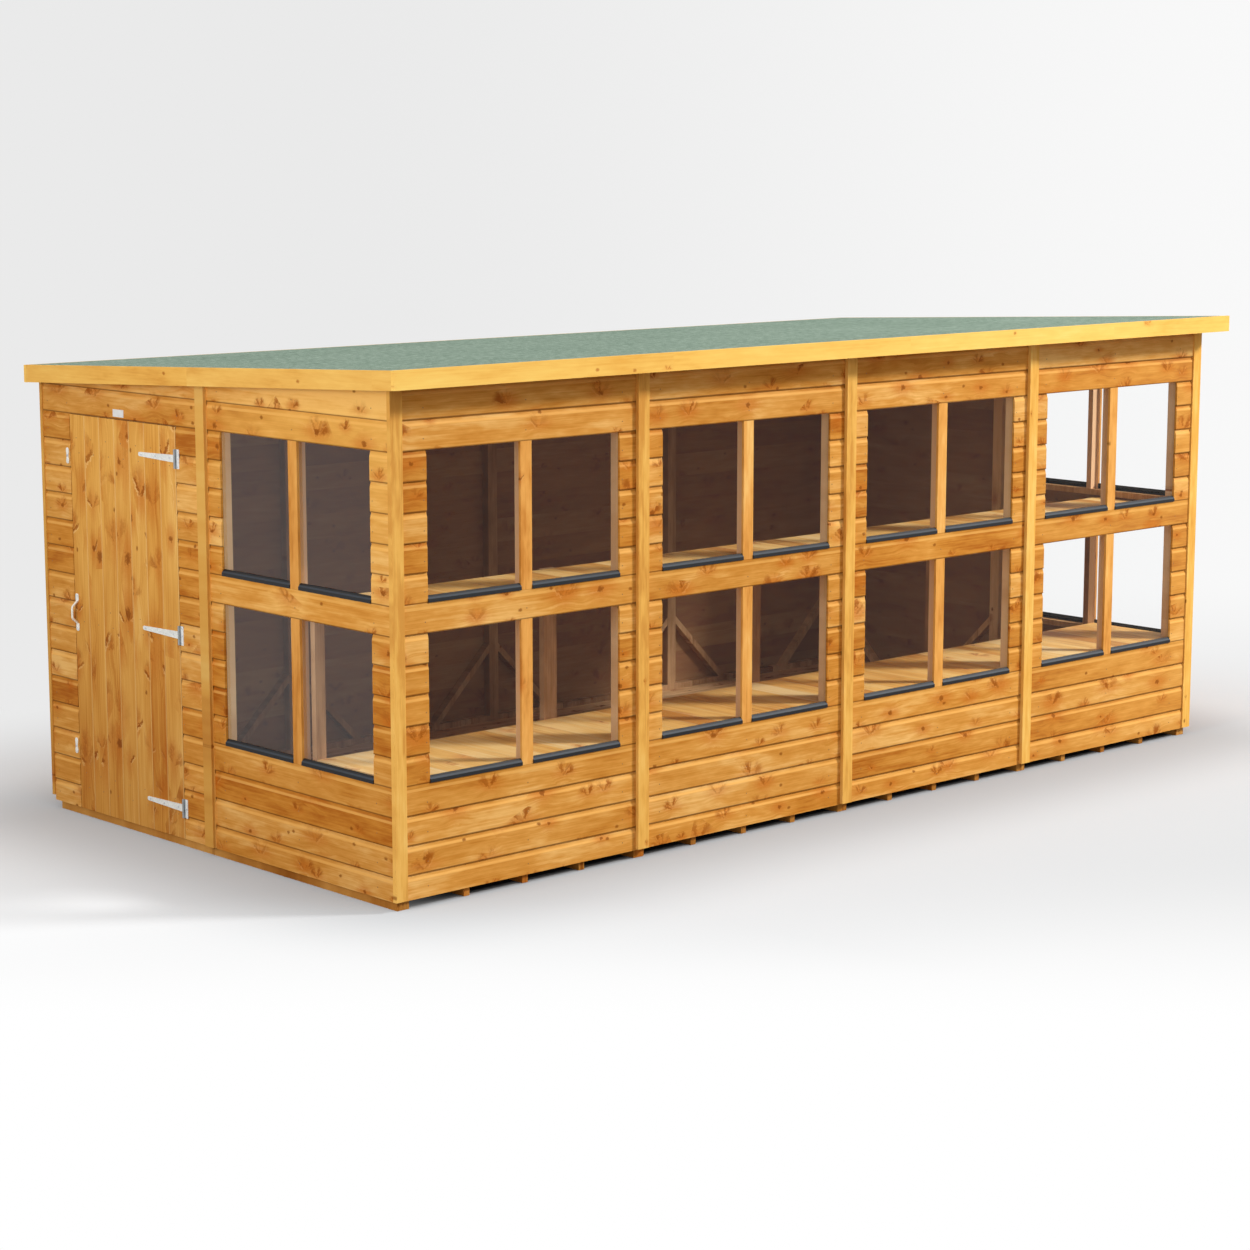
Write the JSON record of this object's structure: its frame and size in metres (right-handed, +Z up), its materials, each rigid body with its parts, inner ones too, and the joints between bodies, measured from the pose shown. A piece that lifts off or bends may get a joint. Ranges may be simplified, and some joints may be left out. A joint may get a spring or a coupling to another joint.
{
  "type": "potting shed",
  "caption": "Timber potting shed with a single-slope roof, tall window panels along one side, staging inside and a boarded door on strap hinges in one end.",
  "frame": {"origin": "middle of the whole box, on the ground", "axes": "+X along the window side away from the door end, +Y from the window side to the low back wall, +Z up"},
  "size_m": [5.044, 2.518, 2.036],
  "materials": {
    "cladding_wood": "dip-treated shiplap",
    "door_wood": "dip-treated matchboard",
    "frame_wood": "planed framing",
    "strip_wood": "dip-treated planed trim",
    "mullion_wood": "dip-treated planed trim",
    "fascia_wood": "dip-treated planed trim",
    "floor_wood": "sawn boards",
    "staging_wood": "planed boards",
    "roof_board": "pressed board",
    "roof_felt": "mineral felt",
    "glass": "clear",
    "sill_bead": "dark grey",
    "plate": "plain white plate",
    "handle_steel": "bright zinc",
    "galvanised_steel": "galvanised"
  },
  "bodies": {
    "shed": {"back_cladding_1": "cladding_wood", "back_cladding_2": "cladding_wood", "back_cladding_3": "cladding_wood", "back_cladding_4": "cladding_wood", "back_fascia": "fascia_wood", "back_frame_1": "frame_wood", "back_frame_2": "frame_wood", "back_frame_3": "frame_wood", "back_frame_4": "frame_wood", "bench_boards": "staging_wood", "button_screws": "galvanised_steel", "corner_strips": "strip_wood", "door_panel_cladding": "cladding_wood", "door_panel_frame": "frame_wood", "door_plate": "plate", "end_fascias": "fascia_wood", "end_mullions": "mullion_wood", "end_panes": "glass", "end_sill_beads": "sill_bead", "floor_boards": "floor_wood", "floor_joists": "floor_wood", "front_cladding_1": "cladding_wood", "front_cladding_2": "cladding_wood", "front_cladding_3": "cladding_wood", "front_cladding_4": "cladding_wood", "front_fascia": "fascia_wood", "front_frame_1": "frame_wood", "front_frame_2": "frame_wood", "front_frame_3": "frame_wood", "front_frame_4": "frame_wood", "front_mullions": "mullion_wood", "front_panes": "glass", "front_sill_beads": "sill_bead", "hinge_pins": "galvanised_steel", "hinge_plates": "galvanised_steel", "joint_strips": "strip_wood", "left_window_cladding": "cladding_wood", "left_window_frame": "frame_wood", "rafters": "frame_wood", "right_plain_cladding": "cladding_wood", "right_plain_frame": "frame_wood", "right_window_cladding": "cladding_wood", "right_window_frame": "frame_wood", "roof_boards": "roof_board", "roof_felt": "roof_felt", "shelf_boards": "staging_wood", "staging_bearers": "staging_wood", "staging_posts": "staging_wood"},
    "door": {"door_boards": "door_wood", "door_ledges": "frame_wood", "hinge_straps": "galvanised_steel", "door_handle": "handle_steel"},
    "upper_button": {"turn_button_upper": "galvanised_steel"},
    "lower_button": {"turn_button_lower": "galvanised_steel"}
  },
  "joints": [
    {"name": "door_hinge", "type": "hinge", "parent": "shed", "child": "door", "pos_m": [-2.4575, 0.2435, 0.88], "axis": [0, 0, 1], "range_deg": [0, 165]},
    {"name": "upper_button_turn", "type": "hinge", "parent": "shed", "child": "upper_button", "pos_m": [-2.4545, 1.045, 1.548], "axis": [1, 0, 0], "range_deg": [-90, 90]},
    {"name": "lower_button_turn", "type": "hinge", "parent": "shed", "child": "lower_button", "pos_m": [-2.4545, 1.045, 0.304], "axis": [1, 0, 0], "range_deg": [-90, 90]}
  ]
}
